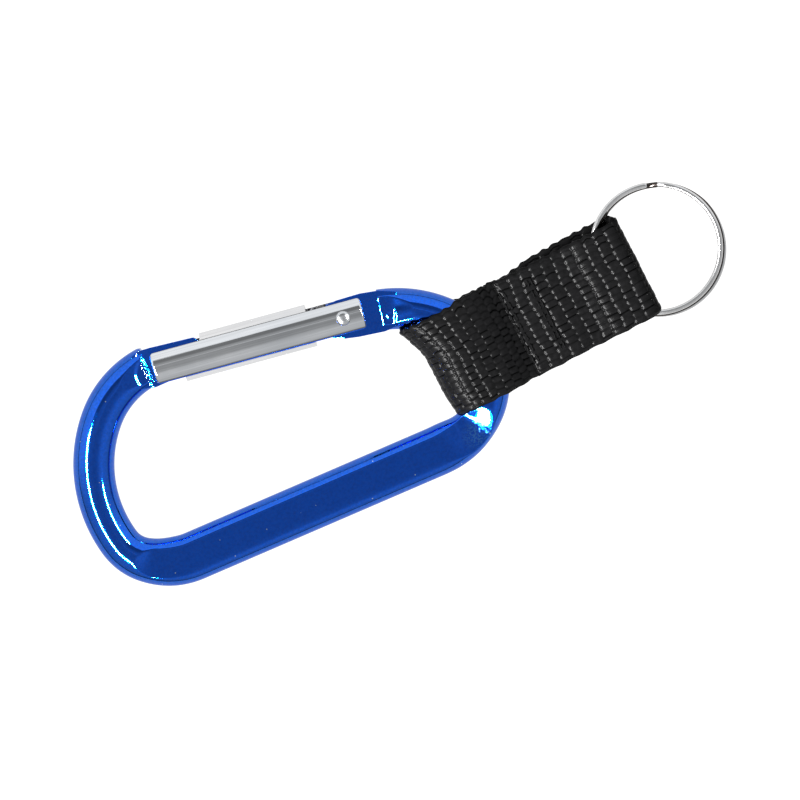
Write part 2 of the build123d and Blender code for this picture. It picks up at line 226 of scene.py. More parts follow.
class Nodes:
    """Small helper around a node tree."""

    def __init__(self, tree):
        self.tree = tree
        self.tree.nodes.clear()
        self.coord = self.add("ShaderNodeTexCoord")

    def add(self, kind, **props):
        node = self.tree.nodes.new(kind)
        for key, value in props.items():
            setattr(node, key, value)
        return node

    def link(self, a, b):
        self.tree.links.new(a, b)

    def mapping(self, vector=None, scale=(1, 1, 1), rot=(0, 0, 0)):
        """Scaled and turned coordinates, the object's own unless others are given."""
        m = self.add("ShaderNodeMapping")
        m.inputs["Scale"].default_value = scale
        m.inputs["Rotation"].default_value = rot
        self.link(self.coord.outputs["Object"] if vector is None else vector, m.inputs["Vector"])
        return m.outputs[0]

    def noise(self, vector, scale, detail=3, rough=0.5):
        n = self.add("ShaderNodeTexNoise")
        n.inputs["Scale"].default_value = scale
        n.inputs["Detail"].default_value = detail
        n.inputs["Roughness"].default_value = rough
        self.link(vector, n.inputs["Vector"])
        return n.outputs["Fac"]

    def ramp(self, value, stops):
        r = self.add("ShaderNodeValToRGB")
        els = r.color_ramp.elements
        while len(els) < len(stops):
            els.new(0.5)
        for el, (pos, col) in zip(els, stops):
            el.position = pos
            el.color = (*col, 1) if not isinstance(col, float) else (col, col, col, 1)
        self.link(value, r.inputs[0])
        return r.outputs[0]

    def math(self, op, a, b=None, c=None):
        m = self.add("ShaderNodeMath", operation=op)
        for k, v in enumerate((a, b, c)):
            if v is None:
                continue
            if isinstance(v, (int, float)):
                m.inputs[k].default_value = v
            else:
                self.link(v, m.inputs[k])
        return m.outputs[0]

    def vector_math(self, op, a, b, out="Vector"):
        m = self.add("ShaderNodeVectorMath", operation=op)
        self.link(a, m.inputs[0])
        m.inputs[1].default_value = b
        return m.outputs[out]

    def mix(self, a, b, factor=1.0, blend="MIX"):
        m = self.add("ShaderNodeMix", data_type="RGBA", blend_type=blend)
        for key, value in (("Factor", factor), ("A", a), ("B", b)):
            if isinstance(value, (float, tuple)):
                m.inputs[key].default_value = value
            else:
                self.link(value, m.inputs[key])
        return m.outputs["Result"]

    def bump(self, height, strength, depth_mm, normal=None):
        b = self.add("ShaderNodeBump")
        b.inputs["Strength"].default_value = strength
        b.inputs["Distance"].default_value = depth_mm * MM
        self.link(height, b.inputs["Height"])
        if normal is not None:
            self.link(normal, b.inputs["Normal"])
        return b.outputs[0]


class Shader(Nodes):
    """Material with one principled surface."""

    def __init__(self, name):
        self.mat = bpy.data.materials.new(name)
        self.mat.use_nodes = True
        super().__init__(self.mat.node_tree)
        self.bsdf = self.add("ShaderNodeBsdfPrincipled")
        self.link(self.bsdf.outputs[0], self.add("ShaderNodeOutputMaterial").inputs[0])

    def set(self, **values):
        for key, value in values.items():
            self.bsdf.inputs[key.replace("_", " ")].default_value = value

    def feed(self, value, key):
        self.link(value, self.bsdf.inputs[key])


# Distances enter a ramp in centimetres
TO_CM = 100.0


def dye_with_painted_edge_shade(s, v):
    """Blue dye in the oxide with a fine grit; the darker blue where the surface turns away from the camera is
    painted shade.
    """
    facing = s.add("ShaderNodeLayerWeight").outputs["Facing"]
    tone = s.math("MULTIPLY_ADD", s.noise(v, 70, 3), 0.03, facing)
    # Painted shade: the blue darkens as the surface turns away from the camera
    dye_and_edge_shade = [
        (0.02, (0.0, 0.14, 0.96)),
        (0.16, (0.0, 0.135, 0.86)),
        (0.36, (0.0, 0.12, 0.66)),
        (0.7, (0.0, 0.11, 0.60)),
    ]
    grit = s.ramp(s.noise(v, 1900, 3, 0.6), [(0.35, 0.90), (0.65, 1.12)])
    return s.mix(s.ramp(tone, dye_and_edge_shade), grit, blend="MULTIPLY")


def dusted(s, v, col):
    """A few pale specks on a colour."""
    cells = s.add("ShaderNodeTexVoronoi")
    cells.inputs["Scale"].default_value = 700
    s.link(v, cells.inputs["Vector"])
    pick = s.add("ShaderNodeSeparateColor")
    s.link(cells.outputs["Color"], pick.inputs[0])
    near = s.math("LESS_THAN", cells.outputs["Distance"], 0.075)
    chosen = s.math("GREATER_THAN", pick.outputs[0], 0.66)
    return s.mix(col, (0.8, 0.9, 1.0, 1), s.math("MULTIPLY", near, chosen))


def lip_dents(s, v):
    """Uneven height on the crushed lip beside the gate's nose end, zero elsewhere."""
    rel = s.vector_math("SUBTRACT", v, Vector(PIVOT) * MM)
    along = s.vector_math("DOT_PRODUCT", rel, Vector(GATE_A - NOSE_SLANT * GATE_B), "Value")
    aside = s.vector_math("DOT_PRODUCT", rel, Vector(GATE_B), "Value")
    off = s.math("ABSOLUTE", s.math("SUBTRACT", along, NOSE_LIP * MM))
    lip = s.ramp(s.math("MULTIPLY", off, TO_CM), [(0.03, 1.0), (0.08, 0.0)])
    within = s.math("LESS_THAN", s.math("ABSOLUTE", aside), LIP_REACH * MM)
    return s.math("MULTIPLY", s.noise(v, 1700, 2), s.math("MULTIPLY", lip, within))


def anodised_blue():
    s = Shader("anodised_blue_finish")
    v = s.mapping()
    # The pressed heel is hammered: small facets in the bump, and a painted highlight that turns some facets paler
    # blue
    apart = s.vector_math("DISTANCE", v, Vector(HEEL_SPOT) * MM, "Value")
    area = s.ramp(s.math("MULTIPLY", apart, TO_CM), [(0.12, 1.0), (0.34, 0.0)])
    painted_facet_glint = s.ramp(s.noise(v, 3400, 2, 0.6), [(0.46, 0.0), (0.62, 0.8)])
    col = s.mix(dye_with_painted_edge_shade(s, v), (0.10, 0.36, 1.0, 1), s.math("MULTIPLY", painted_facet_glint, area))
    s.feed(dusted(s, v, col), "Base Color")
    s.set(Metallic=1.0, Specular_Tint=(0.3, 0.55, 1.0, 1))
    s.set(Coat_Weight=0.8, Coat_IOR=1.45, Coat_Roughness=0.03)
    s.feed(s.ramp(s.noise(v, 260, 4, 0.6), [(0.35, 0.04), (0.7, 0.08)]), "Roughness")
    dents = lip_dents(s, v)
    normal = s.bump(s.noise(v, 2600, 2), 0.16, 0.03)
    normal = s.bump(s.math("MULTIPLY", s.noise(v, 3300, 1), area), 1.0, 0.055, normal)
    normal = s.bump(dents, 1.0, 0.12, normal)
    s.feed(s.bump(s.noise(v, 500, 2), 0.10, 0.05, normal), "Normal")
    s.feed(s.bump(dents, 1.0, 0.16), "Coat Normal")
    return s.mat


def gate_angle():
    return math.atan2(GATE_A[1], GATE_A[0])


def bare_aluminium():
    s = Shader("bare_aluminium_finish")
    v = s.mapping(rot=(0, 0, -gate_angle()))
    # Drawn tube: fine lines along its length
    lines = s.noise(s.mapping(v, scale=(60, 3500, 3500)), 1.0, 3)
    cloud = s.noise(v, 140, 3)
    tone = s.ramp(cloud, [(0.3, (0.88, 0.89, 0.91)), (0.7, (0.94, 0.94, 0.95))])
    s.feed(s.mix(tone, s.ramp(lines, [(0.35, 0.90), (0.65, 1.04)]), blend="MULTIPLY"), "Base Color")
    s.feed(s.ramp(cloud, [(0.3, 0.05), (0.7, 0.10)]), "Roughness")
    s.feed(s.bump(lines, 0.22, 0.02), "Normal")
    s.set(Metallic=1.0)
    return s.mat


def metal(name, low, high, rough, grain, strength):
    """Cloudy metal between two tones, with a fine grain."""
    s = Shader(name)
    v = s.mapping()
    cloud = s.noise(v, grain, 3)
    s.feed(s.ramp(cloud, [(0.3, low), (0.7, high)]), "Base Color")
    s.feed(s.ramp(cloud, [(0.3, rough[0]), (0.7, rough[1])]), "Roughness")
    s.feed(s.bump(s.noise(v, grain * 6, 3), strength, 0.04), "Normal")
    s.set(Metallic=1.0)
    return s.mat


def nickel_finish():
    s = Shader("nickel_wire_finish")
    v = s.mapping()
    cloud = s.noise(v, 300, 3)
    col = s.ramp(cloud, [(0.3, (0.80, 0.79, 0.78)), (0.7, (0.88, 0.87, 0.87))])
    # Painted shade: faces between the coils are darkened
    groove = s.add("ShaderNodeAttribute", attribute_name="groove").outputs["Fac"]
    s.feed(s.mix(col, (0.07, 0.06, 0.055, 1), groove), "Base Color")
    s.feed(s.ramp(cloud, [(0.3, 0.15), (0.7, 0.20)]), "Roughness")
    s.feed(s.bump(s.noise(v, 1800, 3), 0.10, 0.04), "Normal")
    s.set(Metallic=1.0)
    return s.mat


def webbing_finish():
    s = Shader("black_webbing_finish")
    v = s.mapping(s.coord.outputs["UV"])
    tone = s.noise(v, 0.9, 3, 0.6)
    col = s.ramp(tone, [(0.3, (0.0030, 0.0030, 0.0031)), (0.75, (0.0058, 0.0057, 0.0060))])
    # Painted shade: colour and specular are dimmed where the rise attribute is low, between the yarns and at the
    # cut end
    rise = s.add("ShaderNodeAttribute", attribute_name="rise").outputs["Fac"]
    painted_gap_shade = s.ramp(rise, [(0.38, 0.04), (0.85, 1.0)])
    s.feed(s.mix(col, painted_gap_shade, blend="MULTIPLY"), "Base Color")
    s.feed(s.math("MULTIPLY", painted_gap_shade, 0.055), "Specular IOR Level")
    strands = s.noise(s.mapping(v, scale=(0.7, 9.0, 1.0)), 1.0, 2, 0.5)
    s.feed(s.bump(strands, 0.22, 0.12), "Normal")
    s.feed(s.ramp(tone, [(0.3, 0.21), (0.7, 0.28)]), "Roughness")
    return s.mat


def thread_finish():
    s = Shader("black_thread_finish")
    twist = s.add("ShaderNodeTexWave", bands_direction="DIAGONAL")
    twist.inputs["Scale"].default_value = 900
    twist.inputs["Distortion"].default_value = 1.5
    s.link(s.mapping(rot=(0, 0, -math.atan2(TAB_T[1], TAB_T[0]))), twist.inputs["Vector"])
    ply = twist.outputs["Fac"]
    s.feed(s.ramp(ply, [(0.2, (0.0015, 0.0015, 0.0016)), (0.8, (0.0034, 0.0034, 0.0036))]), "Base Color")
    s.feed(s.bump(ply, 0.5, 0.08), "Normal")
    s.set(Roughness=0.5, Specular_IOR_Level=0.025)
    return s.mat


mats = {
    "anodised_blue": anodised_blue(),
    "bare_aluminium": bare_aluminium(),
    "rivet_metal": metal(
        "rivet_finish", (0.62, 0.63, 0.65), (0.78, 0.79, 0.80), rough=(0.13, 0.18), grain=500, strength=0.15
    ),
    "spring_steel": metal(
        "spring_finish", (0.4, 0.4, 0.42), (0.6, 0.6, 0.62), rough=(0.25, 0.4), grain=600, strength=0.2
    ),
    "plunger_steel": metal(
        "plunger_finish", (0.05, 0.05, 0.055), (0.12, 0.12, 0.13), rough=(0.3, 0.45), grain=600, strength=0.2
    ),
    "black_webbing": webbing_finish(),
    "black_thread": thread_finish(),
    "nickel_wire": nickel_finish(),
}
slot_of = {part["node"]: part["material_slot"] for part in record["subparts"]}
for node, slot in slot_of.items():
    for holder in nodes[node].material_slots:
        holder.material = mats[slot]


def dress(obj, node, *others):
    """obj stands for CAD nodes and takes their finish."""
    obj.data.materials.append(mats[slot_of[node]])
    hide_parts(node, *others)
    return obj


# ---- hook

BAR_HALF_W, BAR_HALF_H, BAR_ROLL = 3.775, 3.5, 3.7
SPINE_INNER, SPINE_OUTER, SPINE_FLAT = 4.85, 4.25, 2.75
ROLL_INNER, ROLL_OUTER = 4.3, 4.6
HEEL_ROLL = 2.9
SPINE_Y, SPINE_TILT = -17.5, math.radians(-0.5)
SPINE_LEFT_X, SPINE_RIGHT_X = -24.4, 23.4
LEFT_TURNS = ((13.5, 40.5), (8.8, 37.5), (24.5, 55.4), (17.7, 44.5))
RIGHT_TURNS = ((24.2, 11.1), (12.8, 25.0), (12.8, 94.5), (21.5, 35.8))
STATION, FINE_STATION = 0.25, 0.1
# Spans of the run-outs, in mm past the spine's ends
LEFT_RUNOUT, RIGHT_RUNOUT = (2.5, 14.8), (1.5, 10.5)
HEEL_RISE, HEEL_FALL = (3.0, 9.0), (13.0, 19.0)
# Height of the pressed face there: a climb on the left, a dip and then a scoop on the right
LEFT_CLIMB, LEFT_CLIMB_SPAN = 1.2, (7.5, 14.0)
RIGHT_DIP, RIGHT_DIP_SPAN, HEEL_SCOOP = 0.50, (1.5, 8.5), 7.8
EDGE_ROLL, SPINE_EDGE_ROLL = 0.03, 0.16
# Cheeks: along the gate line, the faces that end the rod and the walls of the press marks
NOSE_SHOULDER = (36.4, 3.95)
NOSE_FACE, NOSE_CLEAR = 36.42, 35.98
HINGE_FACE, HINGE_SLANT = -6.79, -0.055
NOSE_WALL, HINGE_WALL = 38.35, -8.75
NOSE_CHEEK_Z, NOSE_LIP_W, NOSE_LIP_DROP = 2.74, 0.62, 0.34
HINGE_CHEEK_Z, HINGE_LIP_W, HINGE_LIP_DROP = 2.55, 0.24, 0.31
CHEEK_FROM, CHEEK_EDGE = 25, 0.02
# Tongue and tang plates
TANG_T, PLATE_ROLL, PLATE_DRAFT = 4.9, 0.12, 0.09


def turn_chain(start, heading, turns, sign):
    """Points and headings along tangent arcs; sign +1 turns left, -1 right."""
    pts, heads, dist = [np.array(start, float)], [heading], [0.0]
    for turn, (radius, sweep) in enumerate(turns):
        total = math.radians(sweep)
        step = FINE_STATION if turn == len(turns) - 1 else STATION
        n = max(2, round(radius * total / step))
        p0, h0, d0 = pts[-1], heads[-1], dist[-1]
        centre = p0 + sign * radius * np.array([-math.sin(h0), math.cos(h0)])
        for k in range(1, n + 1):
            h = h0 + sign * total * k / n
            pts.append(centre - sign * radius * np.array([-math.sin(h), math.cos(h)]))
            heads.append(h)
            dist.append(d0 + radius * total * k / n)
    return np.array(pts), np.array(heads), np.array(dist)


def hook_path():
    """Stations from the nose round to the hinge, with distances measured from both spine ends."""

    def spine_point(x):
        return np.array([x, SPINE_Y + x * math.sin(SPINE_TILT)])

    left, left_h, left_d = turn_chain(spine_point(SPINE_LEFT_X), math.pi + SPINE_TILT, LEFT_TURNS, -1)
    right, right_h, right_d = turn_chain(spine_point(SPINE_RIGHT_X), SPINE_TILT, RIGHT_TURNS, 1)
    n = round((SPINE_RIGHT_X - SPINE_LEFT_X) / STATION)
    xs = np.linspace(SPINE_LEFT_X, SPINE_RIGHT_X, n + 1)[1:-1]
    mid = np.array([spine_point(x) for x in xs])
    pts = np.vstack([left[::-1], mid, right])
    heads = np.concatenate([left_h[::-1] - math.pi, np.full(len(mid), SPINE_TILT), right_h])
    before = np.concatenate([left_d[::-1], np.zeros(len(mid) + len(right))])
    after = np.concatenate([np.zeros(len(left) + len(mid)), right_d])
    return pts, heads, before, after


def hook_section(w, heel):
    """Outline of the rod in (inward, up): w is 0 where round, 1 where pressed; heel squares the outside."""
    arc_n, flat_n = 32, 26
    inner = BAR_HALF_W + w * (SPINE_INNER - BAR_HALF_W)
    outer = BAR_HALF_W + w * (SPINE_OUTER - BAR_HALF_W)
    roll_in = BAR_ROLL + w * (ROLL_INNER - BAR_ROLL)
    roll_out = BAR_ROLL + w * (ROLL_OUTER - BAR_ROLL)
    roll_out += heel * (HEEL_ROLL - roll_out)
    flat = np.linspace(inner - roll_in, roll_out - outer, flat_n)
    up = np.vstack(
        [
            arc_points(inner - roll_in, 0, roll_in, BAR_HALF_H, 0, 90, arc_n),
            np.stack([flat, np.full(flat_n, BAR_HALF_H)], -1)[1:-1],
            arc_points(roll_out - outer, 0, roll_out, BAR_HALF_H, 90, 180, arc_n),
        ]
    )
    low = up[1:-1][::-1] * np.array([1, -1])
    return np.vstack([up, low])


def scoop(x, rate, cap):
    """Wall that leaves the flat with a growing slope, up to the cap."""
    x = np.maximum(x, 0)
    turn = cap / rate
    return np.where(x < turn, 0.5 * rate * x * x, cap * (x - 0.5 * turn))


def dished_wall(x):
    """Wall of a press mark: its slope grows to a short steep part and eases again."""
    step, reach = 0.025, 9.0
    slope_x = [0.0, 0.75, 1.1, reach]
    slope = [0.0, 0.50, 0.17, 0.17]
    at = np.linspace(0, reach, round(reach / step) + 1)
    slopes = np.interp(at[1:] - step / 2, slope_x, slope)
    height = np.concatenate([[0], np.cumsum(slopes) * step])
    return np.interp(np.maximum(x, 0), at, height)


def nose_cheek(a, b):
    """Press mark beside the nose: a lip at the shoulder, nearly flat, then a dished wall."""
    depth = (a - NOSE_SLANT * b - NOSE_FACE) / math.hypot(1, NOSE_SLANT)
    lip = NOSE_LIP_DROP * np.clip(NOSE_LIP_W - depth, 0, NOSE_LIP_W)
    wall = NOSE_WALL - 0.16 * (b + 0.7) ** 2
    return NOSE_CHEEK_Z - lip + dished_wall(a - wall)


def hinge_cheek(a, b):
    """Press mark beside the hinge: a narrow lip, a ripple, then a wall that is dished on its inner half."""
    depth = (HINGE_FACE + HINGE_SLANT * b - a) / math.hypot(1, HINGE_SLANT)
    lip = HINGE_LIP_DROP * np.clip(HINGE_LIP_W - depth, 0, HINGE_LIP_W)
    ripple = 0.13 * smooth(-a, 7.45, 8.05) * np.exp(-(((b + 1.8) / 0.8) ** 2))
    into = HINGE_WALL + 0.06 * np.minimum(b, 0) ** 2 - a
    dished = (1 - smooth(b, -1.3, -0.3)) * smooth(b, -4.2, -2.9)
    wall = dished * dished_wall(into) + (1 - dished) * scoop(into + 1.0, 0.10, 0.22)
    return HINGE_CHEEK_Z - lip + ripple + wall


def press_height(points, before, after):
    """Height of the pressed face over each plan point: the spine's flat, its run-outs and the two cheeks."""
    flat = SPINE_FLAT + LEFT_CLIMB * smooth(before, *LEFT_CLIMB_SPAN)
    flat = flat - RIGHT_DIP * smooth(after, *RIGHT_DIP_SPAN) + scoop(after - HEEL_SCOOP, 0.12, 0.31)
    rel = points - PIVOT[:2]
    a = rel @ GATE_A[:2]
    b = rel @ GATE_B[:2]
    near_nose = (a > 30) & (before > CHEEK_FROM)
    flat = np.where(near_nose, soft_min(flat, nose_cheek(a, b), CHEEK_EDGE), flat)
    near_hinge = (a < -5) & (after > CHEEK_FROM)
    return np.where(near_hinge, soft_min(flat, hinge_cheek(a, b), CHEEK_EDGE), flat)


def make_hook_bar():
    pts, heads, before, after = hook_path()
    w = 1 - smooth(before, *LEFT_RUNOUT) - smooth(after, *RIGHT_RUNOUT)
    heel = smooth(after, *HEEL_RISE) * (1 - smooth(after, *HEEL_FALL))
    sections = np.array([hook_section(*pair) for pair in zip(w, heel)])
    inward = np.stack([-np.sin(heads), np.cos(heads)], -1)
    plan = pts[:, None, :] + sections[..., 0:1] * inward[:, None, :]
    face = press_height(plan, before[:, None], after[:, None])
    z = sections[..., 1]
    # The rolled edge is broader on the outer side of the spine
    spine = np.clip(1 - smooth(before, 0, 6) - smooth(after, 0, 5), 0, 1)[:, None]
    edge = EDGE_ROLL + SPINE_EDGE_ROLL * spine * smooth(-sections[..., 0], 0.5, 2.0)
    z = np.sign(z) * soft_min(np.abs(z), face, edge)
    verts = np.concatenate([plan, z[..., None]], -1)
    faces = tube_faces(len(pts), sections.shape[1])
    hook = new_object("hook_bar", verts.reshape(-1, 3), faces)
    bm = bmesh.new()
    bm.from_mesh(hook.data)
    trim(bm, (NOSE_FACE, 0.0), (1.0, -NOSE_SLANT), True)
    trim(bm, (NOSE_CLEAR, 0.0), (1.0, 0.0), True)
    trim(bm, (HINGE_FACE, 0.0), (-1.0, HINGE_SLANT), False)
    trim(bm, NOSE_SHOULDER, (0.15, -1.0), True)
    bm.to_mesh(hook.data)
    bm.free()
    finish_mesh(hook.data, 38)
    return hook


def trim(bm, at, inward, at_nose):
    """Cuts one end of the rod along a plane across the gate line and closes it."""

    def in_reach(g):
        vs = [g] if isinstance(g, bmesh.types.BMVert) else g.verts
        return all(v.co.y > 0 and (v.co.x < 0) == at_nose for v in vs)

    point = Vector(on_gate(*at) * MM)
    normal = Vector(inward[0] * GATE_A + inward[1] * GATE_B)
    near = [g for g in [*bm.verts, *bm.edges, *bm.faces] if in_reach(g)]
    cut = bmesh.ops.bisect_plane(
        bm, geom=near, plane_co=point, plane_no=-normal, clear_outer=True, dist=1e-7
    )
    rim = [g for g in cut["geom_cut"] if isinstance(g, bmesh.types.BMEdge)]
    bmesh.ops.contextual_create(bm, geom=rim)


def rounded_outline(corners, radii, steps=6):
    """Closed outline through corners, each rounded with its own radius."""
    pts = []
    n = len(corners)
    for k, radius in enumerate(radii):
        p, before, after = (np.array(corners[j % n], float) for j in (k, k - 1, k + 1))
        back, on = np.linalg.norm(before - p), np.linalg.norm(after - p)
        u, v = (before - p) / back, (after - p) / on
        angle = math.acos(np.clip(u @ v, -1, 1))
        if angle > math.radians(176):
            pts.append(p)
            continue
        reach = min(radius / math.tan(angle / 2), 0.45 * back, 0.45 * on)
        for q in np.linspace(0, 1, steps):
            pts.append((1 - q) ** 2 * (p + u * reach) + 2 * q * (1 - q) * p + q * q * (p + v * reach))
    return np.array(pts)


def make_plate(name, outline):
    """Plate standing in the gate's slot, with rolled edges and a slight draft."""
    outline = np.asarray(outline, float)
    half = TANG_T / 2
    after = np.roll(outline, -1, 0)
    nxt = after - outline
    prv = outline - np.roll(outline, 1, 0)
    tangent = nxt / np.linalg.norm(nxt, axis=1)[:, None] + prv / np.linalg.norm(prv, axis=1)[:, None]
    tangent /= np.linalg.norm(tangent, axis=1)[:, None]
    turning = np.sum(outline[:, 0] * after[:, 1] - outline[:, 1] * after[:, 0])
    inward = np.stack([-tangent[:, 1], tangent[:, 0]], -1) * np.sign(turning)
    q = np.radians(np.linspace(0, 90, 6))
    rim = list(zip(PLATE_ROLL * (1 - np.sin(q)), half - PLATE_ROLL + PLATE_ROLL * np.cos(q)))
    levels = rim + [(inset, -z) for inset, z in rim[::-1]]
    verts = []
    for inset, z in levels:
        flat = outline + inward * (inset + PLATE_DRAFT * (half - z))
        verts.append(on_gate(flat[:, 0], flat[:, 1], np.full(len(flat), z)))
    faces = tube_faces(len(levels), len(outline))
    return new_object(name, np.vstack(verts), faces, angle=32)


def make_tongue():
    outer = [(39.0, 3.2), (37.6, 3.9), (35.4, 3.95), (27.2, 3.72), (26.45, 3.1), (26.9, 2.3)]
    inner = [(31.5, -2.6), (36.0, -3.3), (39.0, -3.0)]
    radii = [0.3, 1.2, 0.5, 0.9, 0.5, 0.5, 0.5, 0.3, 0.3]
    return make_plate("nose_tongue", rounded_outline(outer + inner, radii))


def make_tang():
    """Plate with a cam round the pivot: the cam's centre lies off it, turned by the lead."""
    cam_r, cam_off, lead = 3.45, 2.12, math.radians(15)
    cx, cy = -cam_off * math.sin(lead), -cam_off * math.cos(lead)
    cam = arc_points(cx, cy, cam_r, cam_r, 0, -18, 8)
    inner = [(0.9, -3.75), (-1.85, -4.12), (-6.7, -4.4), (-10.0, -3.9)]
    outer = [(-10.5, 2.2), (-7.4, 3.15), (-4.0, 3.5), (0.4, 3.4), (2.7, 3.0)]
    rest = rounded_outline(inner + outer, [0.5] * len(inner + outer))
    return make_plate("hinge_tang", np.vstack([cam, rest, [[cx + cam_r, 2.6]]]))


hook = dress(make_hook_bar(), "carabiner_frame")
tongue, tang = make_tongue(), make_tang()
for piece in (tongue, tang):
    piece.data.materials.append(mats["anodised_blue"])
for piece in (hook, tongue, tang):
    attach(piece, "frame")

# ---- gate, rivet, spring

# Places along the gate are measured from the pivot
GATE_R, GATE_BORE = 3.95, 3.05
GATE_HINGE_END, GATE_NOSE_END = -3.8, 35.7
GATE_BORE_END = 18.6
GATE_ROUND, CORNER_ROUND = 0.45, 0.85
SLOT_HALF = 2.7


def prism(outline, half):
    """Cutter: an outline in the gate's plan pushed half a height up and down."""
    outline = np.asarray(outline, float)
    n = len(outline)
    ends = [on_gate(outline[:, 0], outline[:, 1], np.full(n, z)) for z in (-half, half)]
    return new_object("cutter", np.vstack(ends), tube_faces(2, n))


def cut_away(target, cutters):
    for cutter in cutters:
        mod = target.modifiers.new("cut", "BOOLEAN")
        mod.operation = "DIFFERENCE"
        mod.solver = "EXACT"
        mod.object = cutter
        with bpy.context.temp_override(object=target, active_object=target):
            bpy.ops.object.modifier_apply(modifier=mod.name)
        bpy.data.objects.remove(cutter)


def end_corner(at, toward, side):
    """Cutter outline that rounds one corner of a slotted end, on the side given by its sign."""
    lip, past = 2.9, 0.3
    start = 90.0 if toward > 0 else 0.0
    near, far = at + toward * CORNER_ROUND, at - toward * past
    arc = arc_points(near, lip - CORNER_ROUND, CORNER_ROUND, CORNER_ROUND, start, start + 90, 7)
    if toward < 0:
        arc = arc[::-1]
    outside = [(far, lip - CORNER_ROUND), (far, lip + past)]
    return np.vstack([[(near, lip + past)], arc, outside]) * np.array([1, side])


def round_skin(mesh):
    """Gives the gate's outer skin the normals of a true cylinder."""
    origin = PIVOT * MM
    normals = [n.vector.copy() for n in mesh.corner_normals]

    def outward(place):
        rel = np.array(place) - origin
        rel = rel - (rel @ GATE_A) * GATE_A
        dist = np.linalg.norm(rel)
        return rel / dist, dist

    for poly in mesh.polygons:
        out, dist = outward(poly.center)
        if dist > (GATE_R - 0.03) * MM and out @ np.array(poly.normal) > 0.99:
            for k in poly.loop_indices:
                normals[k] = Vector(outward(mesh.vertices[mesh.loops[k].vertex_index].co)[0])
    mesh.normals_split_custom_set(normals)


def make_gate():
    r, c = GATE_R, GATE_ROUND
    nose = arc_points(GATE_NOSE_END - c, r - c, c, c, 0, 90, 6)
    hinge = arc_points(GATE_HINGE_END + c, r - c, c, c, 90, 180, 6)
    profile = [(0, GATE_NOSE_END)] + [(y, x) for x, y in nose] + [(y, x) for x, y in hinge]
    profile += [(GATE_BORE, GATE_HINGE_END), (GATE_BORE, GATE_BORE_END), (0, GATE_BORE_END)]
    gate = lathe("gate_tube", profile, PIVOT, GATE_A, Z_AXIS, segments=160)
    past_skin = 5
    nose_slot = [(37, 5), (26.1, 5), (26.1, 3.2), (30.4, -3.0), (30.4, -5), (37, -5)]
    hinge_slot = [(-5, 5), (6.3, 5), (6.3, 3.0), (6.0, -3.0), (5.8, -5), (-5, -5)]
    cutters = [prism(outline, SLOT_HALF) for outline in (nose_slot, hinge_slot)]
    for at, toward in ((GATE_HINGE_END, 1), (GATE_NOSE_END, -1)):
        cutters += [prism(end_corner(at, toward, side), past_skin) for side in (1, -1)]
    cut_away(gate, cutters)
    finish_mesh(gate.data, 30)
    round_skin(gate.data)
    return gate


def make_rivet():
    _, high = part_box("gate_rivet")
    top = high.z / MM
    shank_r, head_r, seat, rim = 1.0, 1.36, 3.55, 0.16
    dome = arc_points(0, seat + rim, head_r, top - seat - rim, 0, 90, 16)
    upper = [(shank_r, seat), (head_r, seat)] + dome.tolist()
    profile = [(r, -z) for r, z in upper[::-1]] + upper
    return lathe("rivet", profile, PIVOT, Z_AXIS, GATE_A, segments=64, angle=50)


def make_spring():
    wire, radius, turns = 0.3, 2.35, 7
    start, end = 4.78, 18.25
    n = 36 * turns
    turn = np.linspace(0, 2 * math.pi * turns, n)
    along = start + (end - start) * np.linspace(0, 1, n)
    cos, sin = np.cos(turn)[:, None], np.sin(turn)[:, None]
    radial = cos * Z_AXIS + sin * GATE_B
    centre = on_gate(along, np.zeros(n)) + radius * radial
    ring = np.linspace(0, 2 * math.pi, 12, endpoint=False)
    section = np.stack([wire * np.cos(ring), wire * np.sin(ring)], -1)
    return tube("return_spring", centre, radial, np.tile(GATE_A, (n, 1)), section, angle=60)


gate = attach(dress(make_gate(), "gate"), "gate")
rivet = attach(dress(make_rivet(), "gate_rivet"), "gate")
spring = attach(dress(make_spring(), "gate_spring"), "gate")
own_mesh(spring)

# ---- split ring

RING_R_OUT, RING_WIRE_W, RING_LAYER = 12.5, 1.0, 1.05
RING_LAYER_GAP = 0.06
RING_JOG_AT, RING_JOG_SPAN, RING_END_GAP = 67.0, 16.0, 1.5
RING_MID, RING_LEAN, RING_LEAN_AT = 11.62, 0.40, math.radians(126)
# The lower coil's own offset from the upper one
LOWER_OUT, LOWER_LEAN = 0.15, 0.64
# Below 1 the wire's section is squarer than an ellipse
WIRE_POWER = 0.9
# Width of the painted shade band on the lower coil beside the upper one
COIL_SHADE_W = 0.34


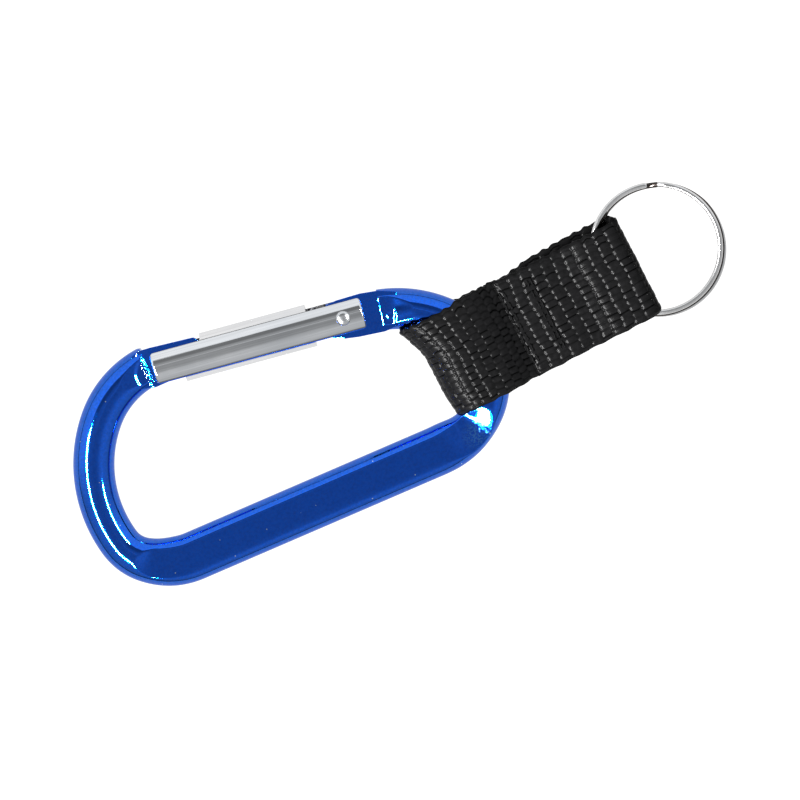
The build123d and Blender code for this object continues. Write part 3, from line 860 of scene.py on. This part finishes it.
def make_ring():
    rise = (RING_LAYER + RING_LAYER_GAP) / 2
    half_jog = RING_JOG_SPAN / 2
    coil = 360 - RING_JOG_SPAN - RING_END_GAP
    jog_start, jog_end = RING_JOG_AT - half_jog, RING_JOG_AT + half_jog
    first, last = jog_start - coil, jog_end + coil
    angle = np.concatenate(
        [
            np.linspace(first, jog_start, 230)[:-1],
            np.linspace(jog_start, jog_end, 24)[:-1],
            np.linspace(jog_end, last, 230),
        ]
    )
    height = rise * (1 - 2 * smooth(angle, jog_start, jog_end))
    rad = np.radians(angle)
    radial = np.stack([np.cos(rad), np.sin(rad), 0 * rad], -1)
    # The coils don't lie exactly on each other: one is further out at one side, the other opposite
    upper = smooth(height, -rise, rise)
    lean = np.cos(rad - RING_LEAN_AT)
    top_mid = RING_MID + RING_LEAN * lean
    mid = top_mid + (1 - upper) * (LOWER_OUT - LOWER_LEAN * lean)
    centre = RING_O + mid[:, None] * radial + height[:, None] * Z_AXIS
    # Flattened wire, rounded on both sides; its ends are dressed off
    around = np.linspace(0, 2 * math.pi, 40, endpoint=False)
    shape = np.stack(
        [
            half * np.sign(wave) * np.abs(wave) ** WIRE_POWER
            for half, wave in ((RING_WIRE_W / 2, np.cos(around)), (RING_LAYER / 2, np.sin(around)))
        ],
        -1,
    )
    from_end = np.minimum(angle - first, last - angle) * math.pi / 180 * RING_R_OUT
    taper = 0.72 + 0.28 * np.sqrt(1 - (1 - np.clip(from_end / 0.5, 0, 1)) ** 2)
    section = shape[None] * taper[:, None, None]
    up = np.tile(Z_AXIS, (len(angle), 1))
    wire = tube("ring_wire", centre, radial, up, section, angle=50)
    # Painted shade: on the lower coil where the upper one nearly covers it, and on the upper one underneath
    away = np.abs(mid[:, None] + section[..., 0] - top_mid[:, None])
    covered = smooth(RING_WIRE_W / 2 + COIL_SHADE_W - away, 0, 0.08) * (section[..., 1] > -0.1)
    under = smooth(-section[..., 1], 0.08, 0.16)
    point_attribute(wire, "groove", np.where(upper[:, None] > 0.5, under, covered))
    return wire


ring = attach(dress(make_ring(), "split_ring"), "ring")

# ---- webbing

WEB_T, WEB_HALF, EDGE_R, CORE_INSET = 1.1, 9.1, 0.35, 0.2
# Grains are the raised floats of the weave: pitch across, height, deepest point between them
GRAIN_PITCH_T, RELIEF, HOLLOW = 1.24, 0.42, -0.3
GRAIN_HALF_W, GRAIN_OVERLAP = 0.60, 0.58
# Columns of floats: pitch along the strip on the bar side, and what the ring side adds
PICK_BAR, PICK_MORE = 1.75, 0.45
STEP = 0.14
SEAM_JOIN = 20.5
# The back layer's shift to one side, and how far the bar fold leans over at its hinge corner
BACK_SHIFT, FOLD_LEAN = 1.1, -2.3
# Spans along the tab beside the two flex joints
BAR_BEND, RING_BEND = (13.9, 16.9), (24.3, 27.4)
rng = np.random.default_rng(7)


def strip_line():
    """Middle line of the folded strip in (s, z): hidden end, bar fold, back, ring fold, top end."""
    line = [
        [(23.7, 0.62), (18.6, 0.62)],
        bezier((18.6, 0.62), (15.8, 0.66), (14.4, 3.3), (11.0, 3.9), 32),
        bezier((11.0, 3.9), (9.3, 4.2), (7.2, 4.27), (5.4, 4.27), 18),
        arc_points(5.4, 0, 4.82, 4.27, 90, 270, 60),
        bezier((5.4, -4.27), (7.0, -4.3), (9.0, -4.32), (11.2, -4.15), 14),
        bezier((11.2, -4.15), (14.3, -3.9), (14.6, -0.62), (17.0, -0.62), 24),
        [(17.0, -0.62), (24.2, -0.62)],
        bezier((24.2, -0.62), (26.5, -0.62), (28.0, -0.75), (29.6, -1.1), 18),
        bezier((29.6, -1.1), (31.2, -1.45), (32.0, -1.95), (33.8, -1.97), 16),
        [(33.8, -1.97), (39.8, -1.95)],
        arc_points(39.8, 0, 1.72, 1.95, 270, 450, 30),
        [(39.8, 1.95), (34.2, 1.97)],
        bezier((34.2, 1.97), (33.3, 1.97), (32.3, 1.50), (30.2, 1.42), 18),
        bezier((30.2, 1.42), (28.0, 1.35), (26.5, 1.80), (24.2, 1.82), 18),
        bezier((24.2, 1.82), (21.5, 1.84), (19.5, 1.86), (16.7, 1.82), 12),
    ]
    raw = np.vstack([np.asarray(part, float)[0 if k == 0 else 1:] for k, part in enumerate(line)])
    d = np.concatenate([[0], np.cumsum(np.linalg.norm(np.diff(raw, axis=0), axis=1))])
    at = np.linspace(0, d[-1], round(d[-1] / STEP) + 1)
    pts = np.stack([np.interp(at, d, raw[:, 0]), np.interp(at, d, raw[:, 1])], -1)
    for _ in range(3):
        pts[1:-1] = (pts[:-2] + 2 * pts[1:-1] + pts[2:]) / 4
    tangent = np.gradient(pts, axis=0)
    tangent /= np.linalg.norm(tangent, axis=1)[:, None]
    # Face side: to the right of the line, which is outward round both folds
    normal = np.stack([tangent[:, 1], -tangent[:, 0]], -1)
    return at, pts, normal


def bezier(p0, p1, p2, p3, n):
    t = np.linspace(0, 1, n)[:, None]
    p0, p1, p2, p3 = (np.array(p, float) for p in (p0, p1, p2, p3))
    return (1 - t) ** 3 * p0 + 3 * t * (1 - t) ** 2 * p1 + 3 * t * t * (1 - t) * p2 + t**3 * p3


def pick_positions(at, along_s):
    """Places of the columns of floats along the strip: closer on the bar side."""
    pos, here = [], -1.0
    while here < at[-1] + 3:
        s = np.interp(here, at, along_s)
        pos.append(here)
        here += PICK_BAR + PICK_MORE * smooth(s, 15.0, 20.0)
    return np.array(pos)


def grain_length(u):
    """Rise of one float along the strip: quick at its near end, long back, sharp drop."""
    crest = 0.32
    up = np.sqrt(np.clip(1 - ((crest - u) / crest) ** 2, 0, 1))
    back = np.clip((u - crest) / (1 - crest), 0, 1)
    down = (1 - 0.20 * back**2) * np.sqrt(1 - back**8)
    return np.where(u < crest, up, down)


def weave(length, across, picks, phase, table, power):
    """Height of the yarns: columns of floats in brick order, each with its raised end first."""
    n = len(picks)
    base = np.clip(np.searchsorted(picks, length), 1, n - 2)
    best = np.full(np.broadcast(length, across).shape, HOLLOW)
    for di in (-1, 0):
        i = np.clip(base + di, 0, n - 1)
        gap = 0.5 * (picks[np.clip(i + 1, 0, n - 1)] - picks[np.clip(i - 1, 0, n - 1)])
        half = gap * GRAIN_OVERLAP
        shift = 0.5 * ((i + phase) % 2)
        for dj in (0, 1):
            j = np.floor(across / GRAIN_PITCH_T - shift) + dj
            jitter = table[i % table.shape[0], (j.astype(int) + table.shape[1] // 2) % table.shape[1]]
            dt = (across - (j + shift) * GRAIN_PITCH_T - 0.05 * jitter[..., 1]) / GRAIN_HALF_W
            u = (picks[i] + half - length + 0.07 * jitter[..., 2]) / (2 * half)
            inside = (u > 0) & (u < 1) & (np.abs(dt) < 1)
            round_top = np.sqrt(np.clip(1 - np.abs(dt) ** power, 0, 1))
            rise = (0.95 + 0.14 * jitter[..., 0]) * grain_length(u) * round_top
            best = np.maximum(best, np.where(inside, rise, HOLLOW))
    return best


def strip_section():
    """Round the strip's section: place across, level (1 top, -1 underneath) and face, 0 on the edges."""
    flat = np.linspace(-WEB_HALF, WEB_HALF, round(2 * WEB_HALF / STEP) + 1)
    edge_n = 6
    side = np.radians(np.linspace(-90, 90, edge_n + 2)[1:-1])
    bulge = WEB_HALF + EDGE_R * np.cos(side)
    one, none = np.ones(len(flat)), np.zeros(edge_n)
    across = np.concatenate([flat, bulge, flat[::-1], -bulge])
    level = np.concatenate([one, -np.sin(side), -one, np.sin(side)])
    face = np.concatenate([one, none, -one, none])
    return across[None], level[None], face[None]


def strip_relief(at, along_s, across, face, top_end):
    """Height of the yarns on both faces, and rise: how open each point is to the light, which sets the painted
    shade.
    """
    picks = pick_positions(at, along_s)
    table = rng.uniform(-1, 1, (len(picks) + 3, 120, 3))
    length = at[:, None]
    wander = 0.16 * np.sin(across * 0.37 + length * 0.11) + 0.10 * np.sin(across * 0.9 + 1.3)
    # Between the bar fold and the seam the floats are rounder and lower
    rounder = (smooth(along_s, 8.0, 9.5) * (1 - smooth(along_s, 15.5, 17.0)))[:, None]
    power = 6.0 - 3.8 * rounder
    wide = across + 0 * length
    top = weave(length + wander, wide, picks, 0, table, power)
    low = weave(length + wander, wide, picks, 1, table[::-1], power)
    grain = np.where(face > 0, top, low)
    # Painted shade between the yarns: rise is low in the gaps and 0.7 on the edges; it is also lower towards the
    # top's cut end
    rise = np.clip(np.where(face == 0, 0.7, 0.5 + 0.5 * grain), 0, 1) * (0.55 + 0.45 * top_end)
    grain = grain * RELIEF * (1 - 0.25 * rounder)
    fade = smooth(WEB_HALF + 0.1 - np.abs(across), 0, 0.3)
    return grain * np.where(face == 0, 0, fade), rise, picks


def selvage(at, across, picks):
    """Stretch across the strip: the weft's turns make both edges wavy."""
    k = np.interp(at, picks, np.arange(len(picks)))
    wobble = 1 + 0.5 * np.sin(0.9 * at) + 0.3 * np.sin(2.3 * at + 1)
    wave = 0.12 * wobble * np.cos(2 * math.pi * k)
    other = 0.07 * wobble * np.cos(math.pi * k + 1.4)
    return 1 + np.where(across > 0, wave[:, None], other[:, None]) / WEB_HALF


def make_strip():
    at, pts, normal = strip_line()
    across, level, face = strip_section()
    along_s, height = pts.T
    # The cut end on top is thinner, and painted darker through rise
    top_end = smooth(at[-1] - at, 0.0, 0.7)[:, None]
    grain, rise, picks = strip_relief(at, along_s, across, face, top_end)
    half = (WEB_T / 2 - CORE_INSET) * (0.45 + 0.55 * top_end)
    offset = level * half + np.sign(level) * grain * (face != 0) * (0.5 + 0.5 * top_end)
    s = pts[:, 0:1] + normal[:, 0:1] * offset
    z = pts[:, 1:2] + normal[:, 1:2] * offset
    # The back layer sits a little to one side of the front one
    shift = BACK_SHIFT * smooth(along_s, 18, 26) * (1 - smooth(height, -1.2, 1.2)) - 0.1
    in_front = smooth(height, -0.4, 0.4) > 0.5
    bulge = 0.4 * smooth(along_s, 8, 10) * (1 - smooth(along_s, 17.4, 17.9)) * in_front
    t = across * selvage(at, across, picks) + shift[:, None] + bulge[:, None] * smooth(across, 4, WEB_HALF)
    # The fold leans over towards the hinge and is drawn in at its other corner
    lean = FOLD_LEAN * (np.clip(t - 2.4, 0, None) / 6.8) ** 1.35 + 0.5 * smooth(-t, 5, 9.4)
    s = s + lean * (1 - smooth(pts[:, 0:1], 2, 12))
    verts = TAB_O + s[..., None] * TAB_S + t[..., None] * TAB_T + z[..., None] * Z_AXIS
    length = at[:, None]
    uv = np.stack([length + 0 * across, across + 0 * length], -1)
    return pts, verts, uv, rise


def strip_piece(name, verts, uv, rise):
    rings, around = verts.shape[:2]
    obj = new_object(name, verts.reshape(-1, 3), tube_faces(rings, around), uv=uv.reshape(-1, 2))
    point_attribute(obj, "rise", rise)
    return obj


def make_webbing():
    """The strip in two pieces that meet on the back layer, under the seam."""
    pts, verts, uv, rise = make_strip()
    back = (pts[:, 1] < -0.3) & (pts[:, 0] > SEAM_JOIN)
    split = int(np.argmax(back))
    first = strip_piece("webbing_bar_side", verts[: split + 1], uv[: split + 1], rise[: split + 1])
    second = strip_piece("webbing_ring_side", verts[split:], uv[split:], rise[split:])
    return first, second


bar_side, ring_side = make_webbing()
dress(bar_side, "webbing_bar_loop", "webbing_center")
dress(ring_side, "webbing_ring_loop")
for strip, bodies, span in (
    (bar_side, ("bar_loop", "seam"), BAR_BEND),
    (ring_side, ("seam", "ring_loop"), RING_BEND),
):
    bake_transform(strip)

# ---- stitching

STITCH_PITCH, STITCHES = 2.1, 7
THREAD_R = 0.2
# Webbing faces at the seam, front and back: side and height
SEAM_FACES = ((1, 2.44), (-1, 1.22))


def make_stitch_row(node):
    low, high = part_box(node)
    centre = (np.array(low) + np.array(high)) / 2 / MM
    s0 = (centre - TAB_O) @ TAB_S
    verts, faces, base = [], [], 0
    ring = np.linspace(0, 2 * math.pi, 10, endpoint=False)
    for side, height in SEAM_FACES:
        for k in range(STITCHES):
            t0 = (k - STITCHES / 2) * STITCH_PITCH
            q = np.linspace(0, 1, 15)
            t = t0 + (0.04 + 0.92 * q) * STITCH_PITCH
            lean = 0.10 * rng.uniform(-1, 1)
            s = s0 + lean * (q - 0.5) * 2 + 0.05 * rng.uniform(-1, 1)
            z = side * (height + 0.10 - 0.55 * (2 * q - 1) ** 6)
            line = on_tab(s, t, z)
            tangent = np.gradient(line, axis=0)
            tangent /= np.linalg.norm(tangent, axis=1)[:, None]
            across = np.tile(TAB_S, (len(q), 1))
            up = np.cross(tangent, across)
            up /= np.linalg.norm(up, axis=1)[:, None]
            width = THREAD_R * (1 - 0.6 * np.abs(2 * q - 1) ** 8)
            part = (
                line[:, None, :]
                + (1.15 * width[:, None] * np.cos(ring))[..., None] * across[:, None, :]
                + (0.8 * width[:, None] * np.sin(ring))[..., None] * up[:, None, :]
            )
            verts.append(part.reshape(-1, 3))
            faces += [[base + v for v in f] for f in tube_faces(len(q), len(ring))]
            base += part.shape[0] * part.shape[1]
    return new_object(node.replace("stitch_row", "thread_row"), np.vstack(verts), faces, angle=70)


for node in sorted(n for n in nodes if n.startswith("stitch_row")):
    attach(dress(make_stitch_row(node), node), "seam")

# ---- stage

TURN = math.radians(24.0)
TILT = math.radians(6.3)
TARGET = Vector((21.4, -6.1, 0.0)) * MM
VIEW_WIDTH = 145.5 * MM
DISTANCE, SENSOR = 0.9, 36.0
FLOOR_Z = CAD_BOX[0][2] - 0.0001
FLOOR_R = 0.45


def add_floor():
    n = 96
    turn = np.linspace(0, 2 * math.pi, n, endpoint=False)
    x, y = TARGET.x + FLOOR_R * np.cos(turn), TARGET.y + FLOOR_R * np.sin(turn)
    rim = np.stack([x, y, 0 * turn + FLOOR_Z], -1)
    floor = new_object("floor", rim / MM, [list(range(n))])
    sh = Shader("floor_finish")
    tone = sh.noise(sh.mapping(), 3.0, 2)
    sh.feed(sh.ramp(tone, [(0.3, (0.028, 0.028, 0.028)), (0.7, (0.032, 0.032, 0.032))]), "Base Color")
    sh.set(Roughness=0.9, Specular_IOR_Level=0.0, Emission_Color=(1, 1, 1, 1))
    # The table is over-exposed to the camera and a little dimmer in reflections
    seen = sh.add("ShaderNodeLightPath").outputs["Is Camera Ray"]
    sh.feed(sh.math("MULTIPLY_ADD", seen, 0.42, 0.70), "Emission Strength")
    floor.data.materials.append(sh.mat)


def add_camera():
    image_up = Vector((math.sin(TURN), math.cos(TURN), 0))
    back = (image_up * math.sin(TILT) + Vector((0, 0, math.cos(TILT)))).normalized()
    up = (image_up - back * image_up.dot(back)).normalized()
    right = up.cross(back)
    cam_data = bpy.data.cameras.new("camera")
    cam = bpy.data.objects.new("camera", cam_data)
    bpy.context.scene.collection.objects.link(cam)
    rot = Matrix((right, up, back)).transposed().to_4x4()
    cam.matrix_world = Matrix.Translation(TARGET + back * DISTANCE) @ rot
    cam_data.sensor_width = SENSOR
    cam_data.lens = SENSOR * DISTANCE / VIEW_WIDTH
    cam_data.clip_start = 0.01
    bpy.context.scene.camera = cam


def image_direction(az, elev):
    """Direction for an azimuth as seen in the picture (0 right, 90 up) and an elevation."""
    a = math.radians(az) - TURN
    e = math.radians(elev)
    return Vector((math.cos(a) * math.cos(e), math.sin(a) * math.cos(e), math.sin(e)))


def add_softbox(name, az, elev, dist, size, power, only=None):
    """Rectangular light that reaches every piece, or only those listed."""
    d = image_direction(az, elev)
    data = bpy.data.lights.new(name, "AREA")
    data.shape = "RECTANGLE"
    data.size, data.size_y = size
    data.energy = power
    light = bpy.data.objects.new(name, data)
    light.location = TARGET + d * dist
    light.rotation_euler = d.to_track_quat("Z", "Y").to_euler()
    bpy.context.scene.collection.objects.link(light)
    if only:
        lit = bpy.data.collections.new(name + "_reaches")
        for piece in only:
            lit.objects.link(piece)
        light.light_linking.receiver_collection = lit


def set_world():
    """Soft studio round the table: dark horizon, pale walls, dimmer overhead."""
    world = bpy.data.worlds.new("studio")
    world.use_nodes = True
    bpy.context.scene.world = world
    w = Nodes(world.node_tree)
    toward = w.coord.outputs["Generated"]
    split = w.add("ShaderNodeSeparateXYZ")
    w.link(toward, split.inputs[0])
    height = w.math("MULTIPLY_ADD", split.outputs[2], 0.5, 0.5)

    def sky(stops):
        """Brightness by elevation in degrees, slightly cool."""
        levels = [(0.5 + 0.5 * math.sin(math.radians(elev)), (v * 0.97, v, v * 1.03)) for elev, v in stops]
        return w.ramp(height, levels)

    horizon = [(-90, 0.8), (-4, 0.8), (-1.5, 0.12)]
    far_wall = [(2, 0.14), (4, 0.84), (46, 0.88), (50, 0.16), (63, 0.16)]
    far_top = [(72, 0.28), (78, 0.30), (80, 0.55), (82, 0.30), (90, 0.27)]
    near_wall = [(4, 0.18), (10, 0.44), (45, 0.50), (58, 0.42), (68, 0.31), (84, 0.25), (90, 0.27)]
    # The wall behind the picture's top is brighter than the one at its foot
    share = w.add("ShaderNodeMapRange", interpolation_type="SMOOTHSTEP")
    share.inputs["From Min"].default_value = -0.15
    share.inputs["From Max"].default_value = 0.25
    w.link(w.vector_math("DOT_PRODUCT", toward, image_direction(105, 0), "Value"), share.inputs["Value"])
    both = w.mix(sky(horizon + near_wall), sky(horizon + far_wall + far_top), share.outputs[0])
    background = w.add("ShaderNodeBackground")
    w.link(both, background.inputs[0])
    w.link(background.outputs[0], w.add("ShaderNodeOutputWorld").inputs[0])


add_floor()
add_camera()
metal_pieces = [hook, tongue, tang, gate, rivet]
add_softbox("softbox_left", az=217, elev=56, dist=1.2, size=(1.1, 0.12), power=78)
add_softbox("softbox_right", az=19, elev=52, dist=1.2, size=(0.6, 0.10), power=36, only=metal_pieces)
set_world()
bpy.context.scene.view_settings.view_transform = "Standard"
